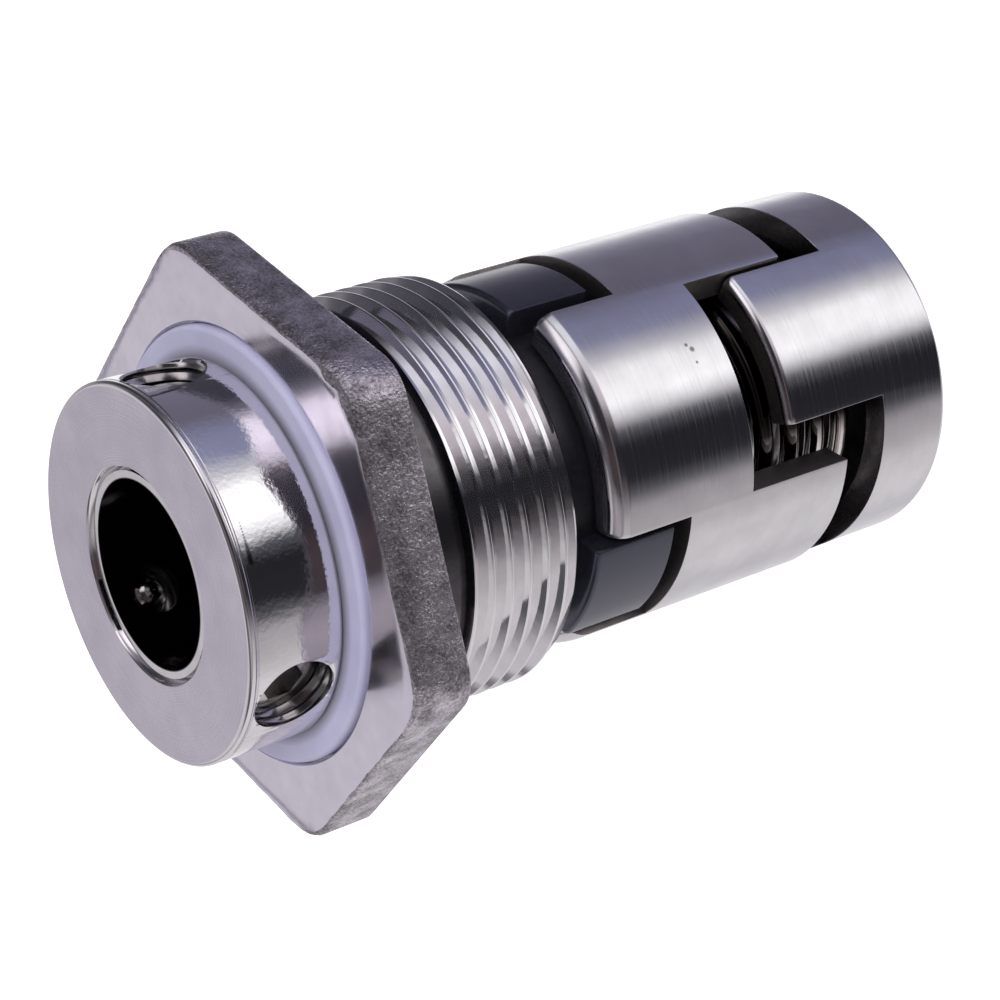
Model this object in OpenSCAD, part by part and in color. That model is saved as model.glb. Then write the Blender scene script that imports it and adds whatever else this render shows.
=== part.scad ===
// Cartridge shaft seal for a vertical pump, standing on its driver
// Z runs up the shaft axis and the underside of the driver lies at Z = 0
// All lengths are in millimetres and all angles in degrees

/* [Shaft and sleeve] */

// Diameter of the pump shaft that the sleeve slides over
shaft_d = 12; // [8:0.5:30]
// Wall of the thin sleeve that carries the rotating parts
sleeve_wall = 0.5; // [0.3:0.1:1.5]
// Depth of the sleeve end below the collar face
sleeve_inset = 0.3; // [0.1:0.1:1]

/* [Drive collar] */

// Outer diameter of the collar
collar_d = 24; // [18:0.5:50]
// Height of the collar
collar_h = 6.4; // [4:0.1:12]
// Diameter of the relief round the sleeve end
collar_relief_d = 13.6; // [13.3:0.1:16]
// Depth of the relief round the sleeve end
collar_relief_depth = 1.2; // [0.4:0.1:3]
// Chamfer on both outer edges of the collar
collar_chamfer = 0.3; // [0.1:0.1:1]
// Turn of the collar about the shaft
collar_turn = -41.7; // [-180:0.1:180]

/* [Set screws] */

// Number of set screws in the collar
screw_count = 3; // [3:1:3]
// Outer diameter of a set screw
screw_d = 5; // [3:0.5:8]
// Length of a set screw with its rounded point
screw_len = 4.5; // [3:0.1:8]
// Distance across the flats of the hexagon socket
screw_key = 2.5; // [1.5:0.5:4]
// Depth of the hexagon socket
screw_key_depth = 2.2; // [1:0.1:4]
// Diameter of the rounded point
screw_point_d = 2.4; // [1:0.1:4]
// Gap round a screw's point in its hole of the sleeve
screw_point_gap = 0.4; // [0.2:0.05:1]
// Drop of the screw axis below the collar face
screw_drop = 3.25; // [2:0.05:6]
// Distance of the screw tip from the shaft surface
screw_standoff = 0.15; // [0.05:0.05:1]

/* [Spacer ring] */

// Outer diameter of the plastic ring
spacer_d = 27.7; // [20:0.1:50]
// Thickness of the plastic ring
spacer_h = 1.7; // [0.8:0.1:4]
// Height by which the ring stands out of the head
spacer_proud = 0.4; // [0.1:0.1:1]
// Rounding of the ring's outer upper edge
spacer_round = 0.35; // [0.1:0.05:0.6]
// Radial gap between the ring and its recess
spacer_gap = 0.12; // [0.05:0.01:0.4]

/* [Hexagon head] */

// Distance across the flats of the head
head_af = 33.4; // [28:0.1:60]
// Thickness of the hexagon
head_h = 3.9; // [2:0.1:10]
// Rounding of the six corners
head_corner = 3; // [0.5:0.1:5]
// Length of the plain neck under the hexagon
neck_h = 3.25; // [1:0.05:8]
// Diameter of the plain neck
neck_d = 26.6; // [24:0.1:50]
// Width of the undercut behind the hexagon and of the thread relief
undercut_w = 0.7; // [0.3:0.1:2]
// Depth of the undercut and of the relief
undercut_depth = 0.5; // [0.2:0.1:1]
// Depth of the undercut in the underside of the hexagon
seat_relief = 0.2; // [0.1:0.05:1]
// Radial gap between the head and the sleeve
head_bore_gap = 0.9; // [0.3:0.1:2]

/* [Head thread] */

// Outer diameter of the head's thread
thread_d = 27; // [24:0.5:50]
// Pitch of the thread
thread_pitch = 1.35; // [0.75:0.05:3]
// Length of the threaded part
thread_len = 8.1; // [4:0.1:20]
// Depth of the thread
thread_depth = 0.75; // [0.3:0.05:1.5]
// Chamfer on the free end of the thread
thread_lead = 0.6; // [0.2:0.1:1.5]

/* [Stationary ring] */

// Outer diameter of the stationary ring
seat_d = 21; // [16:0.1:40]
// Cord diameter of the soft ring behind it
seat_cord_d = 1.62; // [0.8:0.02:3]
// Height of the wide part
seat_step_h = 2.6; // [1:0.1:6]
// Full height of the stationary ring
seat_h = 6.1; // [3:0.1:12]
// Distance of the seal faces below the end of the thread
seat_nose = 0.55; // [0.2:0.05:2]
// Radial gap between the stationary ring and the head
seat_gap = 0.06; // [0.02:0.01:0.3]

/* [Rotating ring] */

// Diameter of the ring's body
rotor_d = 20.2; // [16:0.1:40]
// Diameter over the teeth
tooth_d = 24.3; // [18:0.1:48]
// Width of a tooth as an angle
tooth_angle = 38.5; // [10:0.5:60]
// Turn of the teeth within the windows of the carrier
tooth_play = 1.6; // [0:0.1:3]
// Length of a tooth along the shaft
tooth_len = 6.2; // [2:0.1:12]
// Axial gap between a tooth and the floor of its window
tooth_gap = 1.1; // [0.2:0.1:3]
// Height of the ring above its teeth
rotor_top = 1.65; // [0.5:0.05:4]
// Outer and inner diameter of the raised seal face
face_outer_d = 18.6; // [15:0.1:36]
// Inner diameter of the raised seal face
face_inner_d = 15.4; // [14:0.1:34]
// Height of the raised seal face
face_h = 0.4; // [0.1:0.05:1]

/* [Ring carrier] */

// Outer diameter of the carrier
carrier_d = 24.8; // [20:0.1:50]
// Wall of the carrier and of its lugs
carrier_wall = 2.1; // [1:0.1:4]
// Number of lugs on each side of the carrier
lug_count = 3; // [3:1:3]
// Width of a front lug as an angle
front_lug_angle = 73.8; // [40:0.1:100]
// Length of a front lug
front_lug_len = 6.1; // [3:0.1:12]
// Width of a rear lug as an angle
rear_lug_angle = 51.5; // [20:0.1:60]
// Length of a rear lug
rear_lug_len = 8.1; // [4:0.1:20]
// Height of the closed band between the lugs
band_h = 5.1; // [4:0.1:12]
// Depth of the spring recess in the band
spring_recess = 1.4; // [0.5:0.1:3]
// Thickness of the web that carries the seal
web_h = 2; // [1:0.1:4]
// Rounding of the edges that face the head
carrier_round = 0.8; // [0.2:0.1:1.5]
// Turn of the carrier about the shaft
carrier_turn = 12.5; // [-180:0.1:180]
// Turn of the rear lugs against the front lugs
rear_lug_turn = -1.2; // [-10:0.1:10]

/* [Driver] */

// Outer diameter of the driver
driver_d = 24.1; // [20:0.1:50]
// Wall of the driver and of its lugs
driver_wall = 1.8; // [1:0.1:4]
// Height of the driver's closed rim
rim_h = 5.6; // [3:0.1:12]
// Thickness of the driver's floor
floor_h = 4.2; // [3:0.1:8]
// Width of a driver lug as an angle
driver_lug_angle = 51.7; // [20:0.1:60]
// Angle left between a driver lug and the rear lug that it drives
drive_gap_angle = 0.8; // [0.4:0.1:3]
// Rounding of the driver's upper edges
driver_round = 0.5; // [0.2:0.1:1]
// Chamfer on the driver's lower edge
driver_chamfer = 0.5; // [0.2:0.1:1.5]
// Axial gap that lets the sleeve float against the spring
float_gap = 3.5; // [3:0.1:8]

/* [Spring] */

// Diameter of the spring wire
wire_d = 1.3; // [0.6:0.1:2]
// Mean diameter of the coil
coil_d = 17.5; // [15:0.1:36]
// Number of open turns
open_turns = 4.5; // [2:0.5:10]
// Thickness of the washer under the spring
washer_h = 0.5; // [0.3:0.1:1.5]

/* [Soft seals and thrust washer] */

// Cord diameter of the soft seals
cord_d = 1.76; // [1:0.02:3]
// Thickness of the thrust washer behind the rotating ring
thrust_h = 1.2; // [0.6:0.1:3]

/* [Clearances] */

// Gap between parts that turn or slide on each other
run_gap = 0.03; // [0.02:0.01:0.2]
// Gap between parts that sit in each other
seat_fit = 0.02; // [0.01:0.01:0.1]
// Radial gap where a rotating part clears the sleeve
sleeve_gap = 0.45; // [0.3:0.05:1]

/* [Hidden] */

$fn = 96;
cut = 0.05;
bite = 0.4;

sleeve_r = shaft_d / 2 + sleeve_wall;
carrier_r = carrier_d / 2;
carrier_in = carrier_r - carrier_wall;
driver_r = driver_d / 2;
driver_in = driver_r - driver_wall;
thread_r = thread_d / 2;
neck_r = neck_d / 2;
seat_pocket_r = seat_d / 2 + seat_gap;
seat_step_r = seat_pocket_r - seat_cord_d - 2 * seat_fit;
head_bore_r = sleeve_r + head_bore_gap;
recess_r = spacer_d / 2 + spacer_gap;

z_rim = rim_h;
z_rear_end = z_rim + float_gap;
z_band = z_rear_end + rear_lug_len;
z_driver_end = z_band - float_gap;
z_web = z_band + spring_recess;
z_thrust = z_web + web_h;
z_rotor = z_thrust + thrust_h;
z_window = z_band + band_h;
z_front_end = z_window + front_lug_len;
z_tooth = z_window + tooth_gap;
z_tooth_end = z_tooth + tooth_len;
z_face = z_tooth_end + rotor_top;
z_seat = z_face + run_gap;
z_thread = z_face + seat_nose;
z_relief = z_thread + thread_len;
z_neck = z_relief + undercut_w;
z_hex = z_relief + undercut_w + neck_h;
z_hex_top = z_hex + head_h;
z_spacer_top = z_hex_top + spacer_proud;
z_collar = z_spacer_top + run_gap;
z_top = z_collar + collar_h;
z_screw = z_top - screw_drop;
z_spring = floor_h + washer_h;
z_sleeve = 3;

step_angle = 360 / lug_count;
rear_turn = carrier_turn + step_angle / 2 + rear_lug_turn;
driver_turn = rear_turn - rear_lug_angle / 2 - driver_lug_angle / 2 - drive_gap_angle;
tooth_turn = carrier_turn + step_angle / 2 + tooth_play;

// Half section of a ring whose outer upper edge is rounded
module round_top_section(r0, r1, z0, z1, f) {
    translate([r0, z0])
        square([r1 - r0, z1 - z0 - f]);
    translate([r0, z0])
        square([r1 - r0 - f, z1 - z0]);
    translate([r1 - f, z1 - f])
        circle(r = f);
}

// Points of a rounded outer upper edge, from the outside to the top
function rounded_edge(r, z, f) =
    [for (a = [90 : -22.5 : 0]) [r - f + f * sin(a), z - f + f * cos(a)]];

// Section of a slot whose floor rounds off towards the outside
module slot_section(r0, r1, z0, z1, f) {
    edge = rounded_edge(r1, z0, f);
    polygon(concat([[r0, z1], [r1 + 1, z1], 2 * edge[0] - edge[1]],
        [for (i = [1 : len(edge) - 1]) edge[i]], [[r0, z0]]));
}

// Piece of a ring that spans an angle about a middle direction
module ring_sector(middle, width) {
    rotate([0, 0, middle - width / 2])
        rotate_extrude(angle = width)
            children();
}

// Equal copies round the axis
module around(count) {
    for (i = [0 : count - 1])
        rotate([0, 0, i * 360 / count])
            children();
}

// Solid ring of round cord
module cord_ring(inner_r, z_low) {
    translate([0, 0, z_low + cord_d / 2])
        rotate_extrude()
            translate([inner_r + cord_d / 2, 0])
                circle(d = cord_d);
}

// Flat washer
module flat_washer(r0, r1, z0, h) {
    rotate_extrude()
        translate([r0, z0])
            square([r1 - r0, h]);
}

// Outline of the head with rounded corners
module hexagon_outline(af, corner) {
    reach = (af / 2 - corner) / cos(30);
    polygon([for (k = [0 : 5], side = [-30, 30])
        let (a = 60 * k + 30 + side)
        [reach * cos(60 * k + 30) + corner * cos(a),
         reach * sin(60 * k + 30) + corner * sin(a)]]);
    for (k = [0 : 5])
        rotate(60 * k + 30)
            translate([reach, 0])
                circle(r = corner);
}

// Outline of the grooved thread from its free end up to the relief
function thread_outline(turns) = concat(
    [[thread_r - thread_lead, z_thread], [thread_r, z_thread + thread_lead]],
    [for (i = [0 : turns - 1], k = [0 : 3])
        let (z = z_thread + thread_lead + thread_pitch * (i + [0.12, 0.5, 0.5, 0.88][k]))
        [thread_r - (k == 1 || k == 2 ? thread_depth : 0), z + (k == 1 ? -0.02 : k == 2 ? 0.02 : 0)]]);

// Threaded gland with its hexagon, neck, recess and seal pocket
module hex_head() {
    turns = floor((thread_len - thread_lead) / thread_pitch);
    color("dimgray")
    difference() {
        union() {
            translate([0, 0, z_hex])
                linear_extrude(head_h)
                    hexagon_outline(head_af, head_corner);
            rotate_extrude()
                polygon(concat(
                    [[sleeve_r, z_thread]],
                    thread_outline(turns),
                    [[thread_r, z_relief],
                     [neck_r - undercut_depth, z_relief],
                     [neck_r - undercut_depth, z_neck],
                     [neck_r, z_neck + undercut_depth / 2],
                     [neck_r, z_hex + seat_relief + bite],
                     [sleeve_r, z_hex + seat_relief + bite]]));
        }
        flat_washer(neck_r - undercut_depth, thread_r + undercut_depth,
            z_hex - undercut_w, undercut_w + seat_relief);
        translate([0, 0, z_thread - cut])
            cylinder(r = head_bore_r, h = z_hex_top - z_thread + 2 * cut);
        translate([0, 0, z_thread - cut])
            cylinder(r = seat_pocket_r, h = z_seat + seat_h - z_thread + cut + seat_fit);
        translate([0, 0, z_spacer_top - spacer_h])
            cylinder(r = recess_r, h = spacer_h + cut);
    }
}

// Plastic ring between the head and the collar
module spacer_ring() {
    color("lavender")
        rotate_extrude()
            round_top_section(sleeve_r + sleeve_gap, spacer_d / 2,
                z_spacer_top - spacer_h + seat_fit, z_spacer_top, spacer_round);
}

// Stationary seal ring in the head
module stationary_ring() {
    bore_r = face_inner_d / 2 - 0.4;
    color("black")
        rotate_extrude()
            polygon([[bore_r, z_seat], [face_outer_d / 2 + 0.4, z_seat],
                [seat_d / 2, z_seat + seat_nose],
                [seat_d / 2, z_seat + seat_step_h],
                [seat_step_r, z_seat + seat_step_h],
                [seat_step_r, z_seat + seat_h],
                [bore_r, z_seat + seat_h]]);
}

// Soft ring that seals the stationary ring in the head
module seat_o_ring() {
    color("darkslategray")
        translate([0, 0, z_seat + seat_step_h + seat_cord_d / 2 + seat_fit])
            rotate_extrude()
                translate([seat_pocket_r - seat_fit - seat_cord_d / 2, 0])
                    circle(d = seat_cord_d);
}

// Rotating seal ring with its driving teeth
module rotating_ring() {
    bore_r = sleeve_r + sleeve_gap;
    seal_r = sleeve_r + run_gap + cord_d + seat_fit;
    color("black") {
        difference() {
            union() {
                rotate_extrude()
                    polygon([[bore_r, z_rotor], [rotor_d / 2, z_rotor],
                        [rotor_d / 2, z_face - face_h - 0.4],
                        [rotor_d / 2 - 0.4, z_face - face_h],
                        [face_outer_d / 2, z_face - face_h],
                        [face_outer_d / 2, z_face],
                        [face_inner_d / 2, z_face],
                        [face_inner_d / 2, z_face - face_h],
                        [bore_r, z_face - face_h]]);
                around(lug_count)
                    ring_sector(tooth_turn, tooth_angle)
                        polygon([[rotor_d / 2 - bite, z_tooth],
                            [tooth_d / 2 - 0.15, z_tooth],
                            [tooth_d / 2, z_tooth + 0.15],
                            [tooth_d / 2, z_tooth_end - 0.6],
                            [tooth_d / 2 - 0.3, z_tooth_end],
                            [rotor_d / 2 - bite, z_tooth_end]]);
            }
            translate([0, 0, z_rotor - cut])
                cylinder(r = seal_r, h = cord_d + 2 * seat_fit + cut);
        }
    }
}

// Metal cage that carries the rotating ring and is driven from below
module ring_carrier() {
    bore_r = sleeve_r + sleeve_gap;
    color("silver")
        difference() {
            rotate_extrude()
                polygon(concat([[carrier_in, z_rear_end], [carrier_r, z_rear_end]],
                    rounded_edge(carrier_r, z_front_end, carrier_round),
                    [[carrier_in, z_front_end], [carrier_in, z_thrust], [bore_r, z_thrust],
                     [bore_r, z_web], [carrier_in, z_web]]));
            around(lug_count) {
                ring_sector(carrier_turn + step_angle / 2, step_angle - front_lug_angle)
                    slot_section(carrier_in - 0.1, carrier_r, z_window, z_front_end + 1, carrier_round);
                ring_sector(rear_turn + step_angle / 2, step_angle - rear_lug_angle)
                    translate([carrier_in - 1, z_rear_end - 1])
                        square([carrier_wall + 2, rear_lug_len + 1]);
            }
        }
}

// Washer that backs the rotating ring and its soft ring
module thrust_washer() {
    color("gainsboro")
        flat_washer(sleeve_r + sleeve_gap, carrier_in - 0.1, z_thrust, thrust_h);
}

// Soft ring that seals the rotating ring on the sleeve
module sleeve_o_ring() {
    color("darkslategray")
        cord_ring(sleeve_r + run_gap, z_rotor + seat_fit);
}

// Points of the wire's centre line, closed at both ends
function coil_height(turn, low, span) =
    let (closed = 1, full = open_turns + 2 * closed,
         dead = wire_d * 1.02, lift = (span - 2 * dead * closed) / open_turns)
    turn < closed ? low + dead * turn
    : turn > full - closed ? low + dead * closed + lift * open_turns + dead * (turn - full + closed)
    : low + dead * closed + lift * (turn - closed);

// Coil spring between the driver and the carrier
module spring() {
    sides = 8;
    per_turn = 18;
    turns = open_turns + 2;
    rings = round(turns * per_turn);
    low = z_spring + wire_d / 2;
    span = z_web - z_spring - wire_d;
    points = [for (i = [0 : rings], k = [0 : sides - 1])
        let (t = i * turns / rings, a = 360 * t, b = 360 * k / sides,
             r = coil_d / 2 + wire_d / 2 * cos(b))
        [r * cos(a), r * sin(a), coil_height(t, low, span) + wire_d / 2 * sin(b)]];
    faces = concat(
        [[for (k = [0 : sides - 1]) k]],
        [[for (k = [sides - 1 : -1 : 0]) rings * sides + k]],
        [for (i = [0 : rings - 1], k = [0 : sides - 1], half = [0, 1])
            let (a = i * sides + k, b = i * sides + (k + 1) % sides,
                 c = b + sides, d = a + sides)
            half == 0 ? [a, d, c] : [a, c, b]]);
    color("lightsteelblue")
        polyhedron(points, faces, convexity = 10);
}

// Washer between the spring and the driver
module spring_washer() {
    color("gainsboro")
        flat_washer(sleeve_r + run_gap, driver_in - 0.2, floor_h, washer_h);
}

// Cup with lugs that turns the carrier and is fixed to the sleeve
module driver() {
    bore_r = shaft_d / 2 + 0.2;
    pocket_r = shaft_d / 2 + cord_d + 2 * seat_fit;
    hole_r = sleeve_r + seat_fit;
    lip_h = z_sleeve - cord_d - 2 * seat_fit;
    color("lightgray")
        difference() {
            rotate_extrude()
                polygon(concat(
                    [[bore_r, 0], [driver_r - driver_chamfer, 0], [driver_r, driver_chamfer]],
                    rounded_edge(driver_r, z_driver_end, driver_round),
                    [[driver_in, z_driver_end], [driver_in, floor_h], [hole_r, floor_h],
                     [hole_r, z_sleeve], [pocket_r, z_sleeve], [pocket_r, lip_h],
                     [bore_r, lip_h]]));
            around(lug_count)
                ring_sector(driver_turn + step_angle / 2, step_angle - driver_lug_angle)
                    slot_section(driver_in - 1, driver_r, z_rim, z_driver_end + 1, driver_round);
        }
}

// Soft ring that seals the driver on the shaft
module shaft_o_ring() {
    color("darkslategray")
        cord_ring(shaft_d / 2 + seat_fit, z_sleeve - cord_d - seat_fit);
}

// Radial hole at the place of a set screw
module screw_bore(index, d, from_r, to_r) {
    rotate([0, 0, collar_turn + index * 360 / screw_count])
        translate([from_r, 0, z_screw])
            rotate([0, 90, 0])
                cylinder(d = d, h = to_r - from_r);
}

// Thin tube that slides over the shaft and carries the collar
module shaft_sleeve() {
    color("whitesmoke")
        difference() {
            translate([0, 0, z_sleeve])
                cylinder(r = sleeve_r, h = z_top - sleeve_inset - z_sleeve);
            translate([0, 0, z_sleeve - cut])
                cylinder(d = shaft_d, h = z_top);
            for (i = [0 : screw_count - 1])
                screw_bore(i, screw_point_d + 2 * screw_point_gap, shaft_d / 4, sleeve_r + 1);
        }
}

// Collar clamped on the shaft by its set screws
module drive_collar() {
    bore_r = sleeve_r + seat_fit;
    c = collar_chamfer;
    r = collar_d / 2;
    color("gainsboro")
        difference() {
            rotate_extrude()
                polygon([[bore_r, z_collar], [r - c, z_collar], [r, z_collar + c],
                    [r, z_top - c], [r - c, z_top],
                    [collar_relief_d / 2, z_top],
                    [collar_relief_d / 2, z_top - collar_relief_depth],
                    [bore_r, z_top - collar_relief_depth]]);
            for (i = [0 : screw_count - 1])
                screw_bore(i, screw_d, shaft_d / 2, r + cut);
        }
}

// Socket set screw with a rounded point that faces the shaft
module set_screw(index) {
    r = screw_d / 2 - run_gap;
    point_r = screw_point_d / 2;
    tip = shaft_d / 2 + screw_standoff;
    color("slategray")
        rotate([0, 0, collar_turn + index * 360 / screw_count])
            translate([tip, 0, z_screw])
                rotate([0, 90, 0])
                    difference() {
                        rotate_extrude()
                            polygon(concat(
                                [for (a = [0 : 15 : 75])
                                    [point_r * sin(a), point_r * (1 - cos(a))]],
                                [[r - 0.1, r - 0.1], [r, r], [r, screw_len - 0.3],
                                 [r - 0.3, screw_len], [0, screw_len]]));
                        translate([0, 0, screw_len - screw_key_depth])
                            cylinder(d = screw_key / cos(30), h = screw_key_depth + cut, $fn = 6);
                    }
}

module set_screw_1() {
    set_screw(0);
}

module set_screw_2() {
    set_screw(1);
}

module set_screw_3() {
    set_screw(2);
}

hex_head();
spacer_ring();
stationary_ring();
seat_o_ring();
rotating_ring();
ring_carrier();
thrust_washer();
sleeve_o_ring();
spring();
spring_washer();
driver();
shaft_o_ring();
shaft_sleeve();
drive_collar();
set_screw_1();
set_screw_2();
set_screw_3();
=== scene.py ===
"""Looks of a cartridge shaft seal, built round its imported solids.

The seal stands on its driver, with Z up the shaft axis and the set-screw collar on top.
Sizes in the classes are millimetres and angles are degrees; finishes and meshes are in metres.
"""

from __future__ import annotations

import logging
import math
from dataclasses import dataclass
from enum import Enum, IntEnum
from typing import Callable, Dict, List, Sequence, Tuple

import bmesh
import bpy
from mathutils import Matrix, Vector


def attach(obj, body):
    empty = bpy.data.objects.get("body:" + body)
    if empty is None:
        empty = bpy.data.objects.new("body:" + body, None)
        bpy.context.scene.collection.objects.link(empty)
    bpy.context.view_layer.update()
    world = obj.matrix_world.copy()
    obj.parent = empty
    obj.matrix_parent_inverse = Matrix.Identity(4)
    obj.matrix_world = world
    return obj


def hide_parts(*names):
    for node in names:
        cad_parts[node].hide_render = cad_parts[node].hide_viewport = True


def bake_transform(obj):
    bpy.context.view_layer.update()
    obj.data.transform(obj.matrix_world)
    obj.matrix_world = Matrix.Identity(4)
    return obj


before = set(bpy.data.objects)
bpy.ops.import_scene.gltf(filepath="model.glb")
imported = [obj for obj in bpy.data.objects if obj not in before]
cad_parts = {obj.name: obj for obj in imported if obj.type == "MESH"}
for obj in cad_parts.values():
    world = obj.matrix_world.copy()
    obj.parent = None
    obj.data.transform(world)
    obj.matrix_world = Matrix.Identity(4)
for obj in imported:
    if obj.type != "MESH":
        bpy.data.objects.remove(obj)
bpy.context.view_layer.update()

LOG = logging.getLogger("shaft_seal")
MM = 0.001
TURN = 2.0 * math.pi
MERGE = 0.0008
CAGE_STEP = 2.5
CAGE_SHARP = 1.2
NEAR = 1e-5

Point = Tuple[float, float]
Place = Tuple[float, float, float]
Colour = Tuple[float, float, float]
Dent = Tuple[float, float, float, float]
Stops = Tuple[Tuple[float, Colour], ...]
Ring = Callable[[float], Point]
Row = Tuple[Ring, int]
Profile = List[Tuple[float, float, int]]
Socket = bpy.types.NodeSocket

WHITE: Colour = (1.0, 1.0, 1.0)
PIT_COLOUR: Colour = (0.05, 0.05, 0.055)
DENT_COLOUR: Colour = (0.03, 0.028, 0.03)
# Painted shade deep in the sleeve's bore.
BORE_SHADE_COLOUR: Colour = (0.16, 0.155, 0.16)
# Painted shade on the side of the spring that lies in shade.
SPRING_SHADE_COLOUR: Colour = (0.05, 0.045, 0.04)
# Painted shade on the white ring next to the collar.
FOOT_SHADE_COLOUR: Colour = (0.28, 0.27, 0.35)


class Body(Enum):
    """The moving groups that new pieces ride on."""

    HEAD = "head"
    SEAL_RING = "seal_ring"
    SLEEVE = "sleeve"


class Slot(Enum):
    """The record's material slots of the new pieces."""

    HEAD_METAL = "head_metal"
    WHITE_PLASTIC = "white_plastic"
    SEAL_CARBIDE = "seal_carbide"
    CAGE_STEEL = "cage_steel"
    SPRING_STEEL = "spring_steel"
    COLLAR_CHROME = "collar_chrome"


class Direction(Enum):
    """How tool marks run over a turned part."""

    NONE = 0
    ALONG_AXIS = 1
    ACROSS_FACE = 2


class HeadPart(IntEnum):
    """Places of the head's materials."""

    FACE = 0
    CAST = 1
    THREAD = 2
    INSIDE = 3
    RELIEF = 4


class CollarPart(IntEnum):
    """Places of the collar's materials."""

    SIDE = 0
    FACE = 1
    HOLE = 2
    EDGE = 3


class CagePart(IntEnum):
    """Places of the materials of a cage or a toothed ring."""

    OUTSIDE = 0
    INSIDE = 1
    CUT = 2
    LUG_END = 3
    BODY = 4


# Finishes


class NodeSheet:
    """Short hand for wiring the nodes of a material or a world."""

    def __init__(self, owner: bpy.types.ID, output: str = "ShaderNodeOutputMaterial") -> None:
        """Clears the owner's nodes and adds its output.

        Args:
            owner: the material or world whose nodes are made.
            output: type name of its output node.
        """
        owner.use_nodes = True
        self.tree = owner.node_tree
        self.tree.nodes.clear()
        self.out = self.add(output)

    def add(self, kind: str, **values: object) -> bpy.types.Node:
        """Adds one node and sets its properties.

        Args:
            kind: the node's type name.
            values: property values by name.

        Returns:
            The new node.
        """
        node = self.tree.nodes.new(kind)
        for key, value in values.items():
            setattr(node, key, value)
        return node

    def link(self, source: Socket, target: Socket) -> None:
        """Joins two sockets."""
        self.tree.links.new(source, target)

    def feed(self, value: object, target: Socket) -> None:
        """Gives an input a socket, a plain number or a plain colour.

        Args:
            value: what goes in.
            target: the input.
        """
        if isinstance(value, Socket):
            self.link(value, target)
        else:
            target.default_value = (*value, 1.0) if isinstance(value, tuple) else value

    def place(self) -> Socket:
        """The place in the object's own space."""
        return self.add("ShaderNodeTexCoord").outputs["Object"]

    def along(self, axis: str) -> Socket:
        """The place along one axis."""
        split = self.add("ShaderNodeSeparateXYZ")
        self.link(self.place(), split.inputs["Vector"])
        return split.outputs[axis]

    def radius(self) -> Socket:
        """Distance from the shaft axis."""
        squares = [self.math("MULTIPLY", side, side) for side in (self.along("X"), self.along("Y"))]
        return self.math("SQRT", self.math("ADD", *squares))

    def noise(self, scale: float, detail: float, place: Socket | None = None) -> Socket:
        """Noise over the object's own space, or another.

        Args:
            scale: grains per metre.
            detail: octaves.
            place: the other space's place.

        Returns:
            The noise value.
        """
        node = self.add("ShaderNodeTexNoise")
        node.inputs["Scale"].default_value = scale
        node.inputs["Detail"].default_value = detail
        self.link(self.place() if place is None else place, node.inputs["Vector"])
        return node.outputs["Fac"]

    def spread(self, value: Socket, low: float, high: float, to_low: float = 0.0, to_high: float = 1.0,
               kind: str = "LINEAR") -> Socket:
        """Maps a value from one range to another, held at the ends.

        Args:
            value: the incoming value.
            low: start of the incoming range.
            high: end of the incoming range.
            to_low: result at the start.
            to_high: result at the end.
            kind: how the result goes between them.

        Returns:
            The mapped value.
        """
        node = self.add("ShaderNodeMapRange", interpolation_type=kind)
        for name, number in zip(("From Min", "From Max", "To Min", "To Max"), (low, high, to_low, to_high)):
            node.inputs[name].default_value = number
        self.link(value, node.inputs["Value"])
        return node.outputs["Result"]

    def math(self, kind: str, a: object, b: object = 0.0) -> Socket:
        """One arithmetic step on sockets or numbers.

        Args:
            kind: the operation.
            a: first value.
            b: second value.

        Returns:
            The result.
        """
        node = self.add("ShaderNodeMath", operation=kind)
        self.feed(a, node.inputs[0])
        self.feed(b, node.inputs[1])
        return node.outputs[0]

    def mix(self, factor: Socket, low: object, high: object) -> Socket:
        """Mixes two colours, each a socket or a plain colour.

        Args:
            factor: 0 gives low, 1 gives high.
            low: first colour.
            high: second colour.

        Returns:
            The mixed colour.
        """
        node = self.add("ShaderNodeMix", data_type="RGBA")
        self.link(factor, node.inputs["Factor"])
        self.feed(low, node.inputs[6])
        self.feed(high, node.inputs[7])
        return node.outputs[2]

    def bump(self, height: Socket, depth: float, under: Socket | None = None) -> Socket:
        """Surface relief from a height.

        Args:
            height: the height from 0 to 1.
            depth: metres for a full step of the height.
            under: normal that the relief is added to.

        Returns:
            The new normal.
        """
        node = self.add("ShaderNodeBump")
        node.inputs["Strength"].default_value = 1.0
        node.inputs["Distance"].default_value = depth
        self.link(height, node.inputs["Height"])
        if under is not None:
            self.link(under, node.inputs["Normal"])
        return node.outputs["Normal"]


@dataclass(frozen=True)
class SurfaceFinish:
    """What every finish has: two colours and two roughnesses, mixed by a grain."""

    light: Colour
    dark: Colour
    rough_low: float
    rough_high: float
    grain: float

    def surface(self, sheet: NodeSheet, shader: bpy.types.Node) -> Tuple[Socket, Socket, Socket | None]:
        """Colour, roughness and normal, which each kind of finish makes in its own way."""
        raise NotImplementedError

    def build(self, name: str) -> bpy.types.Material:
        """Makes the material.

        Args:
            name: its name.

        Returns:
            The finished material.
        """
        material = bpy.data.materials.new(name)
        sheet = NodeSheet(material)
        shader = sheet.add("ShaderNodeBsdfPrincipled")
        colour, rough, normal = self.surface(sheet, shader)
        sheet.link(colour, shader.inputs["Base Color"])
        sheet.link(rough, shader.inputs["Roughness"])
        if normal is not None:
            sheet.link(normal, shader.inputs["Normal"])
        sheet.link(shader.outputs["BSDF"], sheet.out.inputs["Surface"])
        return material


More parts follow.
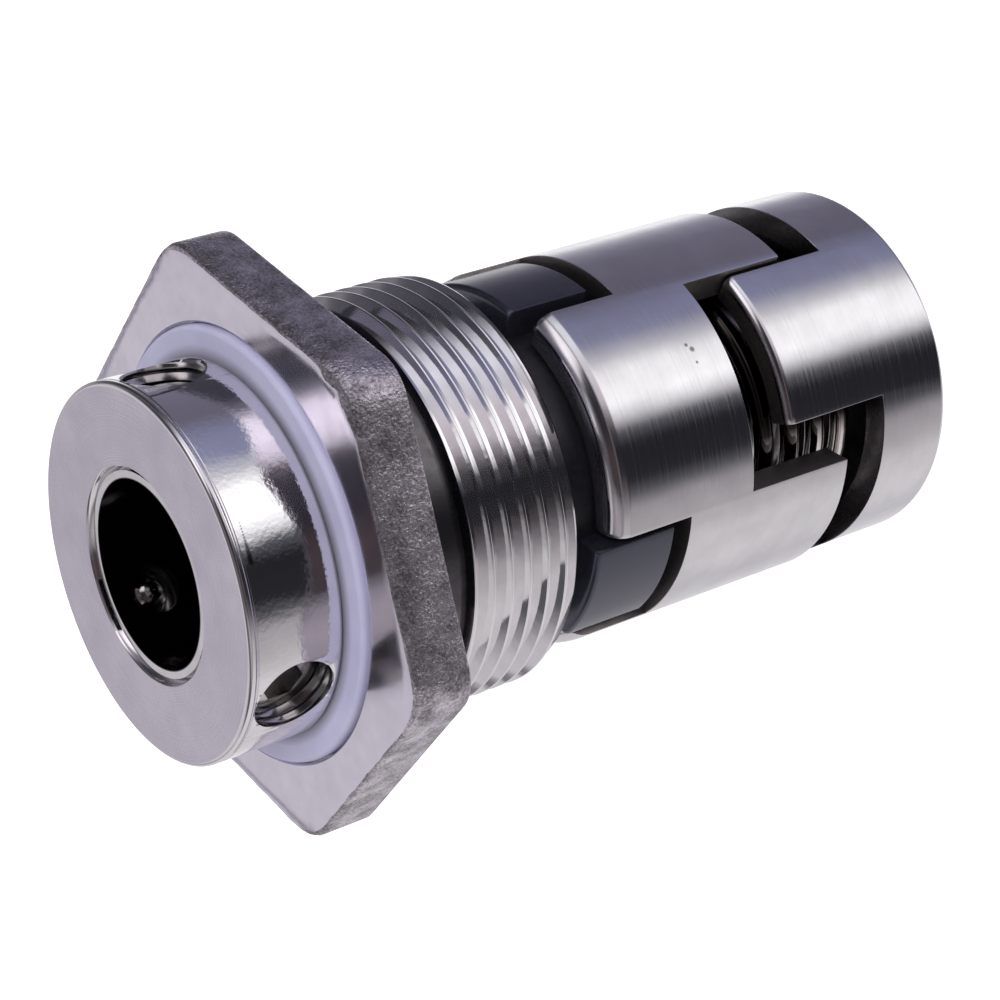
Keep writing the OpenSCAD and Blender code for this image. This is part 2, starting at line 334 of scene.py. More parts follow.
@dataclass(frozen=True)
class MetalFinish(SurfaceFinish):
    """A bare metal surface with grain, unevenness, tool marks, pits, dark dents and painted shade.

    Wave, ripple and grit are each a noise's grains per metre and its depth in metres. The tool marks' pitch,
    the dents, the radius within which a bore gets painted shade and the range of Y of the spring's painted
    shade are millimetres.
    """

    grain: float = 900.0
    wave: Point = (0.0, 0.0)
    ripple: Point = (0.0, 0.0)
    grit: Point = (0.0, 0.0)
    marks: Direction = Direction.NONE
    mark_pitch: float = 0.25
    mark_depth: float = 1e-6
    mark_rough: float = 0.0
    pits: float = 0.0
    pit_depth: float = 4e-5
    anisotropy: float = 0.0
    # Radius within which a bore gets painted shade, and the width of its fade.
    bore_shade_within: float = 0.0
    bore_shade_edge: float = 0.04
    # Range of Y, in millimetres, over which the spring wire gets painted shade.
    painted_shade_y: Point = (0.0, 0.0)
    dents: Tuple[Dent, ...] = ()
    dent_share: float = 0.75

    def surface(self, sheet: NodeSheet, shader: bpy.types.Node) -> Tuple[Socket, Socket, Socket | None]:
        """Makes the metal's colour, roughness and normal.

        Args:
            sheet: the material's node sheet.
            shader: its shader.

        Returns:
            The three sockets, with no normal on a smooth metal.
        """
        shader.inputs["Metallic"].default_value = 1.0
        if self.anisotropy > 0:
            shader.inputs["Anisotropic"].default_value = self.anisotropy
            shader.inputs["Anisotropic Rotation"].default_value = 0.25
            tangent = sheet.add("ShaderNodeTangent", direction_type="RADIAL", axis="Z")
            sheet.link(tangent.outputs["Tangent"], shader.inputs["Tangent"])
        grain, cloud = sheet.noise(self.grain, 6.0), sheet.noise(self.grain * 0.12, 3.0)
        blend = sheet.math("MULTIPLY", sheet.math("ADD", grain, cloud), 0.5)
        colour = sheet.mix(sheet.spread(blend, 0.38, 0.62), self.dark, self.light)
        rough = sheet.spread(blend, 0.36, 0.64, self.rough_high, self.rough_low)
        normal = None
        for (scale, depth), detail in ((self.wave, 1.5), (self.ripple, 2.0), (self.grit, 5.0)):
            if scale > 0:
                normal = sheet.bump(sheet.noise(scale, detail), depth, normal)
        if self.marks is not Direction.NONE:
            marks = self.tool_marks(sheet)
            normal = sheet.bump(marks, self.mark_depth, normal)
            uneven = sheet.spread(marks, 0.35, 0.65, -self.mark_rough, self.mark_rough)
            rough = sheet.math("ADD", rough, uneven)
        if self.pits > 0:
            spot = self.pit_spots(sheet)
            colour = sheet.mix(spot, colour, PIT_COLOUR)
            normal = sheet.bump(sheet.math("SUBTRACT", 1.0, spot), self.pit_depth, normal)
        return self.dents_and_painted_shade(sheet, colour), rough, normal

    def tool_marks(self, sheet: NodeSheet) -> Socket:
        """Fine turned grooves, seen as rings round the shaft axis.

        Args:
            sheet: the material's node sheet.

        Returns:
            The height of the marks.
        """
        reach = sheet.along("Z") if self.marks is Direction.ALONG_AXIS else sheet.radius()
        join = sheet.add("ShaderNodeCombineXYZ")
        sheet.link(sheet.math("MULTIPLY", reach, 1.0 / (self.mark_pitch * MM)), join.inputs["X"])
        return sheet.noise(1.0, 3.0, join.outputs["Vector"])

    def pit_spots(self, sheet: NodeSheet) -> Socket:
        """Small pits, which stand in a few groups.

        Args:
            sheet: the material's node sheet.

        Returns:
            1 in a pit and 0 beside it.
        """
        cell = sheet.add("ShaderNodeTexVoronoi", feature="F1")
        cell.inputs["Scale"].default_value = self.pits
        sheet.link(sheet.place(), cell.inputs["Vector"])
        group = sheet.spread(sheet.noise(60.0, 1.0), 0.69, 0.7)
        return sheet.math("MULTIPLY", sheet.spread(cell.outputs["Distance"], 0.12, 0.2, 1.0, 0.0), group)

    def dents_and_painted_shade(self, sheet: NodeSheet, colour: Socket) -> Socket:
        """Darkens the metal in its dents, and paints shade deep in a bore and over a range of Y on the spring
        wire.

        Args:
            sheet: the material's node sheet.
            colour: the clean metal.

        Returns:
            The dented metal with its painted shade.
        """
        for x, y, z, size in self.dents:
            away = sheet.add("ShaderNodeVectorMath", operation="DISTANCE")
            away.inputs[1].default_value = (x * MM, y * MM, z * MM)
            sheet.link(sheet.place(), away.inputs[0])
            dent = sheet.spread(away.outputs["Value"], size * 0.4 * MM, size * MM, 1.0, 0.0)
            colour = sheet.mix(sheet.math("MULTIPLY", dent, self.dent_share), colour, DENT_COLOUR)
        # Painted shade: the bore darkens inside this radius, where little light reaches.
        if self.bore_shade_within > 0:
            edge = (self.bore_shade_within + self.bore_shade_edge) * MM
            deep = sheet.spread(sheet.radius(), self.bore_shade_within * MM, edge, 1.0, 0.0)
            colour = sheet.mix(deep, colour, BORE_SHADE_COLOUR)
        # Painted shade on the spring wire over a range of Y, where it lies in shade.
        if self.painted_shade_y[0] < self.painted_shade_y[1]:
            spring_shade = sheet.spread(sheet.along("Y"), self.painted_shade_y[0] * MM, self.painted_shade_y[1] * MM)
            colour = sheet.mix(spring_shade, colour, SPRING_SHADE_COLOUR)
        return colour


@dataclass(frozen=True)
class SoftFinish(SurfaceFinish):
    """Plastic, rubber or sintered black ring; its foot is a range of radii in millimetres with painted shade,
    darkest at the inner radius.
    """

    grain: float = 500.0
    relief: float = 4e-6
    glow: float = 0.0
    glow_reach: Place = (0.0012, 0.0012, 0.0014)
    index: float = 1.5
    foot: Point = (0.0, 0.0)
    tint: Colour = WHITE

    def surface(self, sheet: NodeSheet, shader: bpy.types.Node) -> Tuple[Socket, Socket, Socket | None]:
        """Makes the colour, roughness and normal, and sets how deep light goes in.

        Args:
            sheet: the material's node sheet.
            shader: its shader.

        Returns:
            The three sockets.
        """
        grain = sheet.noise(self.grain, 5.0)
        colour = sheet.mix(sheet.spread(grain, 0.35, 0.65), self.dark, self.light)
        # Painted shade on the ring beside the collar, darkest at the foot's inner radius.
        if self.foot[1] > 0:
            foot_shade = sheet.spread(sheet.radius(), self.foot[0] * MM, self.foot[1] * MM, 1.0, 0.0)
            colour = sheet.mix(foot_shade, colour, FOOT_SHADE_COLOUR)
        shader.inputs["IOR"].default_value = self.index
        shader.inputs["Specular Tint"].default_value = (*self.tint, 1.0)
        if self.glow > 0:
            shader.inputs["Subsurface Weight"].default_value = self.glow
            shader.inputs["Subsurface Radius"].default_value = self.glow_reach
        rough = sheet.spread(grain, 0.35, 0.65, self.rough_low, self.rough_high)
        return colour, rough, sheet.bump(sheet.noise(self.grain * 3, 3.0), self.relief)


def scratch(start: Place, end: Place, thin: float, wide: float, count: int) -> Tuple[Dent, ...]:
    """Place and radius of the overlapping dents of a scratch that widens from start to end."""
    shares = [k / (count - 1) for k in range(count)]
    return tuple((*(a + (b - a) * s for a, b in zip(start, end)), thin + (wide - thin) * s) for s in shares)


class Finish(Enum):
    """Every finish of the seal."""

    MACHINED_FACE = MetalFinish(
        (0.82, 0.79, 0.88), (0.74, 0.71, 0.8), 0.14, 0.2, 700, wave=(60, 2e-5),
        marks=Direction.ACROSS_FACE, mark_pitch=0.14, mark_rough=0.03, anisotropy=0.6)
    CAST_SIDE = MetalFinish(
        (0.78, 0.72, 0.79), (0.24, 0.22, 0.235), 0.24, 0.42, 5200, wave=(420, 9e-5), ripple=(2200, 7e-5),
        grit=(6500, 6e-5))
    THREAD_METAL = MetalFinish(
        (0.88, 0.87, 0.88), (0.78, 0.77, 0.78), 0.05, 0.1, 600, wave=(250, 3e-5), ripple=(900, 8e-6))
    CAGE_METAL = MetalFinish(
        (0.8, 0.79, 0.8), (0.7, 0.69, 0.7), 0.13, 0.19, 500, wave=(90, 3e-5),
        marks=Direction.ALONG_AXIS, mark_pitch=0.2, mark_depth=8e-7, mark_rough=0.07, pits=900,
        anisotropy=0.4,
        dents=((11.17, 5.39, 19.86, 0.17), (11.32, 5.05, 19.58, 0.24), (11.66, 4.22, 19.66, 0.13)))
    # Near-black metal that stands for the shade inside the cages and on the washers behind them: painted
    # shade.
    CAGE_INSIDE = MetalFinish((0.055, 0.05, 0.05), (0.025, 0.023, 0.024), 0.4, 0.55, grit=(1200, 3e-5))
    # Darker cut faces: partly rough, oxidised cut metal, partly painted shade in the narrow window gaps.
    CUT_METAL = MetalFinish((0.42, 0.39, 0.38), (0.3, 0.28, 0.27), 0.4, 0.5, grit=(1500, 2e-5))
    # Dark metal that paints the shade under the hexagon and in the driver's window sides.
    RELIEF_METAL = MetalFinish((0.2, 0.19, 0.2), (0.12, 0.115, 0.12), 0.24, 0.34, grit=(1500, 1e-5))
    LUG_END = MetalFinish((0.5, 0.49, 0.54), (0.38, 0.37, 0.41), 0.36, 0.46, grit=(2500, 2e-5))
    COLLAR_SIDE = MetalFinish(
        (0.9, 0.89, 0.9), (0.84, 0.83, 0.84), 0.05, 0.09, 500, wave=(140, 9e-5), ripple=(900, 9e-6),
        grit=(3600, 7e-6), dents=scratch((11.58, 3.16, 53.5), (11.97, 0.9, 53.56), 0.05, 0.24, 14))
    COLLAR_EDGE = MetalFinish((0.88, 0.87, 0.88), (0.8, 0.79, 0.8), 0.1, 0.16, 500)
    COLLAR_FACE = MetalFinish(
        (0.75, 0.71, 0.8), (0.65, 0.61, 0.7), 0.24, 0.32, 320, wave=(90, 2e-5),
        marks=Direction.ACROSS_FACE, mark_pitch=0.1, mark_rough=0.04, anisotropy=0.3)
    # Within 6.03 mm of the axis the bore of the sleeve gets painted shade.
    SLEEVE_METAL = MetalFinish((0.8, 0.79, 0.8), (0.7, 0.69, 0.7), 0.12, 0.2, 700, bore_shade_within=6.03)
    SCREW_METAL = MetalFinish((0.6, 0.59, 0.58), (0.42, 0.41, 0.4), 0.12, 0.22, grit=(600, 2e-5))
    # The spring wire gets painted shade from Y -3.6 mm upward, full beyond -2.2 mm, where it lies in shade.
    SPRING_METAL = MetalFinish((0.95, 0.92, 0.9), (0.7, 0.67, 0.65), 0.08, 0.13, painted_shade_y=(-3.6, -2.2))
    # The white ring's foot, 12.0 to 12.7 mm from the axis, gets painted shade beside the collar.
    WHITE_PLASTIC = SoftFinish(
        (0.62, 0.6, 0.82), (0.56, 0.54, 0.76), 0.5, 0.62, 300, glow=0.2, foot=(12.0, 12.7))
    SEAL_BLACK = SoftFinish(
        (0.018, 0.018, 0.026), (0.013, 0.013, 0.02), 0.2, 0.24, 2500, relief=2e-7, index=1.85,
        tint=(0.74, 0.76, 0.98))
    GROUND_BLACK = SoftFinish(
        (0.012, 0.012, 0.016), (0.008, 0.008, 0.011), 0.3, 0.4, 2500, relief=2e-7, index=1.4)
    RUBBER_BLACK = SoftFinish((0.02, 0.02, 0.02), (0.012, 0.012, 0.012), 0.5, 0.65)


# Mesh makers


def make_piece(name: str, bm: bmesh.types.BMesh, materials: Sequence[bpy.types.Material],
               sharp: float = 32.0, even: bool = False) -> bpy.types.Object:
    """Turns a bmesh in millimetres into a smooth object in metres.

    Args:
        name: the piece's name.
        bm: the mesh, which is freed.
        materials: its materials by index.
        sharp: angle above which an edge stays crisp.
        even: keeps broad faces flat beside their rounded edges.

    Returns:
        The new object.
    """
    bmesh.ops.recalc_face_normals(bm, faces=bm.faces)
    bmesh.ops.scale(bm, vec=(MM, MM, MM), verts=bm.verts)
    mesh = bpy.data.meshes.new(name)
    bm.to_mesh(mesh)
    bm.free()
    for material in materials:
        mesh.materials.append(material)
    for face in mesh.polygons:
        face.use_smooth = True
    mesh.set_sharp_from_angle(angle=math.radians(sharp))
    piece = bpy.data.objects.new(name, mesh)
    bpy.context.scene.collection.objects.link(piece)
    if even:
        shading = piece.modifiers.new("even_shading", "WEIGHTED_NORMAL")
        shading.keep_sharp = True
    return piece


def turned(*points: Tuple[float, float, int]) -> List[Row]:
    """Rows that have the same radius and height at every angle, from points with a finish."""
    return [((lambda _angle, r=r, z=z: (r, z)), finish) for r, z, finish in points]


def rings(rows: Sequence[Row], columns: int, closed: bool = True,
          bm: bmesh.types.BMesh | None = None) -> bmesh.types.BMesh:
    """Skins rows of points round the axis.

    Args:
        rows: each row's radius and height at an angle in radians, with the finish of the band after it.
        columns: steps round the axis.
        closed: joins the last row to the first.
        bm: mesh to add to.

    Returns:
        The mesh in millimetres.
    """
    bm = bm or bmesh.new()
    grid = []
    for row, _ in rows:
        line = []
        for i in range(columns + 1):
            angle = TURN * i / columns
            r, z = row(angle)
            line.append(bm.verts.new((r * math.cos(angle), r * math.sin(angle), z)))
        grid.append(line)
    beyond = grid[1:] + (grid[:1] if closed else [])
    for low, high, (_, finish) in zip(grid, beyond, rows):
        for i in range(columns):
            bm.faces.new((low[i], low[i + 1], high[i + 1], high[i])).material_index = finish
    bmesh.ops.remove_doubles(bm, verts=[v for line in grid for v in line], dist=MERGE)
    return bm


def lathe(profile: Profile, columns: int = 192, bm: bmesh.types.BMesh | None = None) -> bmesh.types.BMesh:
    """Turns a closed profile of radius, height and the finish after each point round the axis."""
    return rings(turned(*profile), columns, True, bm)


def band(finish: int, *points: Point) -> Profile:
    """Points of a profile that share a finish."""
    return [(r, z, finish) for r, z in points]


def corner(r: float, z: float, turn: float, size: float, finish: int, steps: int = 4) -> Profile:
    """Points of a rounded outer corner, in the order of a profile that goes round it.

    Args:
        r: radius of the sharp corner.
        z: height of the sharp corner.
        turn: angle of the first point's direction from the rounding's centre.
        size: rounding radius.
        finish: finish of the bands.
        steps: bands in the rounding.

    Returns:
        The points, over a quarter turn anticlockwise from turn.
    """
    angles = [math.radians(turn) + k * math.pi / 2 / steps for k in range(steps + 1)]
    middle = math.radians(turn + 45)
    r -= size * math.copysign(1, math.cos(middle))
    z -= size * math.copysign(1, math.sin(middle))
    return [(r + size * math.cos(a), z + size * math.sin(a), finish) for a in angles]


def helix(low: float, high: float, pitch: float, phases: Sequence[float],
          reach: Callable[[float, float], float], finish: int) -> List[Row]:
    """Rows of a helical thread that is cut off level at both ends.

    Args:
        low: height of its lower end.
        high: height of its upper end.
        pitch: rise in one turn.
        phases: places of the rows within a pitch, 0 to 1.
        reach: radius at a place, counted in pitches from a crest, and a height.
        finish: finish of the bands.

    Returns:
        The rows from low to high.
    """
    count = len(phases)
    turns = math.ceil((high - low) / pitch) + 1
    rows: List[Row] = []
    for j in range(-count, turns * count + 1):
        u = j // count + phases[j % count]

        def row(angle: float, u: float = u) -> Point:
            """Radius and height of this row at an angle."""
            rise = angle / TURN
            z = min(high, max(low, low + pitch * (u + rise)))
            return reach((z - low) / pitch - rise, z), z

        rows.append((row, finish))
    return rows


def cage(cells: Callable[[float, float], bool], angles: Sequence[float], levels: Sequence[float],
         inner: float, outer: float, front_round: float, crisp: float,
         foot_round: float = 0.0) -> bmesh.types.BMesh:
    """A wall with lugs and windows, made flat, rounded at its edges and wrapped round the axis.

    Args:
        cells: tells whether there is wall at an angle and height.
        angles: all angles where the wall may change.
        levels: all heights where the wall may change.
        inner: inner radius.
        outer: outer radius.
        front_round: rounding of the lug ends' outer edges.
        crisp: rounding of all other edges.
        foot_round: rounding of the lowest outer edge.

    Returns:
        The mesh in millimetres.
    """
    fine: List[float] = []
    for a, b in zip(angles, angles[1:]):
        steps = max(1, math.ceil((b - a) / CAGE_STEP))
        fine += [a + (b - a) * k / steps for k in range(steps)]
    fine.append(angles[-1])
    mean = (inner + outer) / 2
    bm = bmesh.new()
    verts: Dict[Tuple[int, int, int], bmesh.types.BMVert] = {}

    def vert(i: int, j: int, side: int) -> bmesh.types.BMVert:
        """The shared corner of the flat wall at a grid place."""
        key = (i, j, side)
        if key not in verts:
            verts[key] = bm.verts.new((math.radians(fine[i]) * mean, outer if side else inner, levels[j]))
        return verts[key]

    columns = len(fine) - 1
    full = {(i, j) for i in range(columns) for j in range(len(levels) - 1)
            if cells((fine[i] + fine[i + 1]) / 2, (levels[j] + levels[j + 1]) / 2)}
    for i, j in sorted(full):
        bm.faces.new((vert(i, j, 1), vert(i + 1, j, 1), vert(i + 1, j + 1, 1), vert(i, j + 1, 1)))
        back = bm.faces.new((vert(i, j, 0), vert(i, j + 1, 0), vert(i + 1, j + 1, 0), vert(i + 1, j, 0)))
        back.material_index = CagePart.INSIDE
        for di, dj, (a, b), (c, d) in ((-1, 0, (i, j), (i, j + 1)), (1, 0, (i + 1, j), (i + 1, j + 1)),
                                       (0, -1, (i, j), (i + 1, j)), (0, 1, (i, j + 1), (i + 1, j + 1))):
            if ((i + di) % columns, j + dj) not in full:
                cut = bm.faces.new((vert(a, b, 0), vert(c, d, 0), vert(c, d, 1), vert(a, b, 1)))
                cut.material_index = CagePart.LUG_END if j + dj == len(levels) - 1 else CagePart.CUT
    bmesh.ops.recalc_face_normals(bm, faces=bm.faces)

    def edges(kind: str) -> List[bmesh.types.BMEdge]:
        """The sharp edges of one kind: the lug ends' outer ones, the foot's, or all that stand out."""
        found = []
        for e in bm.edges:
            if len(e.link_faces) != 2 or e.calc_face_angle(0) < CAGE_SHARP:
                continue
            end = levels[-1] if kind == "front" else levels[0]
            at_end = all(abs(v.co.y - outer) < NEAR and abs(v.co.z - end) < NEAR for v in e.verts)
            if at_end or (kind == "all" and e.is_convex):
                found.append(e)
        return found

    for kind, size, steps in (("front", front_round, 5), ("foot", foot_round, 4), ("all", crisp, 2)):
        if size > 0:
            bmesh.ops.bevel(bm, geom=edges(kind), offset=size, segments=steps, profile=0.5,
                            affect="EDGES", clamp_overlap=False, material=0 if kind != "all" else -1)
    for v in bm.verts:
        angle, r = v.co.x / mean, v.co.y
        v.co = Vector((r * math.cos(angle), r * math.sin(angle), v.co.z))
    bmesh.ops.remove_doubles(bm, verts=bm.verts, dist=MERGE)
    return bm


@dataclass(frozen=True)
class Lugs:
    """Three equal lugs, or teeth, round the axis."""

    turn: float
    width: float

    def middles(self) -> List[float]:
        """Angles of the lugs' middles."""
        return [self.turn + 120 * k for k in range(3)]

    def holds(self, angle: float) -> bool:
        """Tells whether a lug stands at an angle."""
        return any(abs((angle - middle + 180) % 360 - 180) < self.width / 2 for middle in self.middles())

    @staticmethod
    def changes(start: float, *groups: Lugs) -> List[float]:
        """The angles of a full turn from start where a wall with these lugs may change, in order."""
        ends = [middle + side * lugs.width / 2
                for lugs in groups for middle in lugs.middles() for side in (-1, 1)]
        return sorted({start, start + 360} | {(end - start) % 360 + start for end in ends})


# Sub-assemblies


@dataclass
class SubAssembly:
    """What every sub-assembly has: the materials of the finishes."""

    made: Dict[Finish, bpy.types.Material]

    def take(self, *finishes: Finish) -> List[bpy.types.Material]:
        """The materials of some finishes."""
        return [self.made[finish] for finish in finishes]

    def place(self, piece: bpy.types.Object, body: Body, slot: Slot, *nodes: str) -> bpy.types.Object:
        """Lets a piece ride and hides the solids that it stands for.

        Args:
            piece: the new piece.
            body: the body it moves with.
            slot: its material slot; not used.
            nodes: the solids that it replaces.

        Returns:
            The piece.
        """
        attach(piece, body.value)
        if nodes:
            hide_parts(*nodes)
        LOG.info("%s rides on %s", piece.name, body.value)
        return piece

    def dress(self, node: str, finish: Finish) -> None:
        """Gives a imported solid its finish.

        Args:
            node: the solid's name.
            finish: its finish.
        """
        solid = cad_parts[node]
        solid.data.materials.clear()
        solid.data.materials.append(self.made[finish])
        LOG.info("%s is dressed", node)


@dataclass
class Head(SubAssembly):
    """The threaded gland with its hexagon, and the white ring in its face."""

    apothem: float = 16.7
    corner: float = 3.0
    hex_low: float = 43.85
    hex_high: float = 47.75
    edge: float = 0.22
    corner_wear: float = 0.9
    corner_reach: float = 0.09
    chip: float = 2.0
    chip_reach: float = 0.11
    wear_waves: Tuple[Place, ...] = ((0.1, 31, 1), (0.07, 67, 0), (0.05, 113, 2))
    recess_r: float = 13.97
    recess_z: float = 46.45
    recess_chamfer: float = 0.12
    bore_r: float = 7.4
    pocket_r: float = 10.56
    pocket_z: float = 37.4
    neck_r: float = 13.3
    under_r: float = 12.8
    undercut: float = 0.55
    undercut_slope: float = 0.2
    relief_low: float = 39.9
    relief_edge: float = 0.15
    neck_low: float = 40.6
    thread_low: float = 31.8
    thread_r: float = 13.5
    pitch: float = 1.35
    depth: float = 0.75
    crest_flat: float = 0.025
    crest_end: float = 0.07
    flank_end: float = 0.43
    worn_crest: float = 0.026
    lead: float = 0.6
    phases: Tuple[float, ...] = (
        0.025, 0.07, 0.16, 0.25, 0.34, 0.43, 0.5, 0.57, 0.66, 0.75, 0.84, 0.93, 0.975)
    columns: int = 360
    ring_low: float = 46.47
    ring_high: float = 48.15
    ring_inner: float = 6.95
    ring_outer: float = 13.85
    ring_round: float = 0.35

    def reach(self, angle: float) -> float:
        """Distance from the axis to the hexagon's outline.

        Args:
            angle: direction in radians.

        Returns:
            The distance.
        """
        a = abs((angle + math.pi / 6) % (math.pi / 3) - math.pi / 6)
        centre = (self.apothem - self.corner) / math.cos(math.pi / 6)
        if math.tan(a) * self.apothem <= centre / 2:
            return self.apothem / math.cos(a)
        d = math.pi / 6 - a
        return centre * math.cos(d) + math.sqrt(self.corner ** 2 - (centre * math.sin(d)) ** 2)

    def worn(self, angle: float) -> float:
        """Uneven wear of the hexagon's front edge, as a share of its rounding.

        Args:
            angle: direction in radians.

        Returns:
            The share, near 1 on the flats, more at the corners and most at the chipped one.
        """
        uneven = sum(share * math.sin(count * angle + start) for share, count, start in self.wear_waves)
        at_corner = math.exp(-((angle % (math.pi / 3) - math.pi / 6) / self.corner_reach) ** 4)
        chip = math.exp(-((angle - math.pi / 6) / self.chip_reach) ** 4)
        return 1.0 + uneven + self.corner_wear * at_corner + self.chip * chip * (1 + 3 * uneven)

    def face_row(self, share: float) -> Ring:
        """A line over the hexagon's face, at a share of the way from the recess to the outline."""
        return lambda angle: (self.recess_r + (self.reach(angle) - self.recess_r) * share, self.hex_high)

    def edge_row(self, inset: float, drop: float, front: bool) -> Ring:
        """One line of the hexagon's rounded edge.

        Args:
            inset: how far it lies inside the outline, as a share of the rounding.
            drop: how far it lies from the face, as a share of the rounding.
            front: on the worn front edge, or else on the lower one.

        Returns:
            Radius and height of the line.
        """
        def row(angle: float) -> Point:
            """Radius and height at an angle."""
            size = self.edge * (self.worn(angle) if front else 1.0)
            z = self.hex_high - drop * size if front else self.hex_low + drop * size
            return self.reach(angle) - inset * size, z

        return row

    def thread_reach(self, place: float, z: float) -> float:
        """Radius of the thread, with its rounded crests and its chamfered end.

        Args:
            place: place along the thread, in pitches from a crest.
            z: the height.

        Returns:
            The radius.
        """
        away = abs(place - round(place))
        if away < self.crest_end:
            groove = self.worn_crest * max(0.0, (away - self.crest_flat) / (self.crest_end - self.crest_flat))
        else:
            flank = min(1.0, (away - self.crest_end) / (self.flank_end - self.crest_end))
            groove = self.worn_crest + (self.depth - self.worn_crest) * flank
        return min(self.thread_r - groove, self.thread_r - self.lead + (z - self.thread_low))

    def build(self) -> None:
        """Makes the head and dresses the rings in it."""
        part = HeadPart
        rows = turned(
            *band(part.INSIDE, (self.bore_r, self.pocket_z), (self.bore_r, self.recess_z),
                  (self.recess_r, self.recess_z)),
            *band(part.FACE, (self.recess_r, self.hex_high - self.recess_chamfer),
                  (self.recess_r + self.recess_chamfer, self.hex_high)))
        rows += [(self.face_row(share), part.FACE) for share in (0.35, 0.7)]
        rows += [(self.edge_row(inset, drop, True), part.CAST)
                 for inset, drop in ((1, 0), (0.3, 0.3), (0, 1))]
        rows += [(self.edge_row(0, 1, False), part.CAST), (self.edge_row(0.3, 0.3, False), part.CAST),
                 (self.edge_row(1, 0, False), part.THREAD)]
        # The neck under the hexagon takes the relief finish, painted shade where the hexagon shades it.
        rows += turned(*band(
            part.RELIEF, (self.under_r, self.hex_low), (self.under_r, self.hex_low - self.undercut),
            (self.neck_r, self.hex_low - self.undercut - self.undercut_slope),
            (self.neck_r, self.neck_low + self.undercut_slope), (self.under_r, self.neck_low),
            (self.under_r, self.relief_low + self.relief_edge)))
        thread = helix(self.thread_low, self.relief_low, self.pitch, self.phases, self.thread_reach,
                       part.THREAD)
        rows += thread[::-1]
        rows += turned(*band(part.INSIDE, (self.pocket_r, self.thread_low), (self.pocket_r, self.pocket_z)))
        finishes = self.take(Finish.MACHINED_FACE, Finish.CAST_SIDE, Finish.THREAD_METAL, Finish.SLEEVE_METAL,
                             Finish.RELIEF_METAL)
        piece = make_piece("threaded_head", rings(rows, self.columns), finishes)
        self.place(piece, Body.HEAD, Slot.HEAD_METAL, "hex_head")
        self.white_ring()
        self.dress("stationary_ring", Finish.SEAL_BLACK)
        self.dress("seat_o_ring", Finish.RUBBER_BLACK)

    def white_ring(self) -> None:
        """Makes the white ring between the head and the collar."""
        profile = band(0, (self.ring_inner, self.ring_low), (self.ring_outer, self.ring_low))
        profile += corner(self.ring_outer, self.ring_high, 0, self.ring_round, 0, 5)
        profile += band(0, (self.ring_inner, self.ring_high))
        piece = make_piece("white_ring", lathe(profile), self.take(Finish.WHITE_PLASTIC))
        self.place(piece, Body.HEAD, Slot.WHITE_PLASTIC, "spacer_ring")


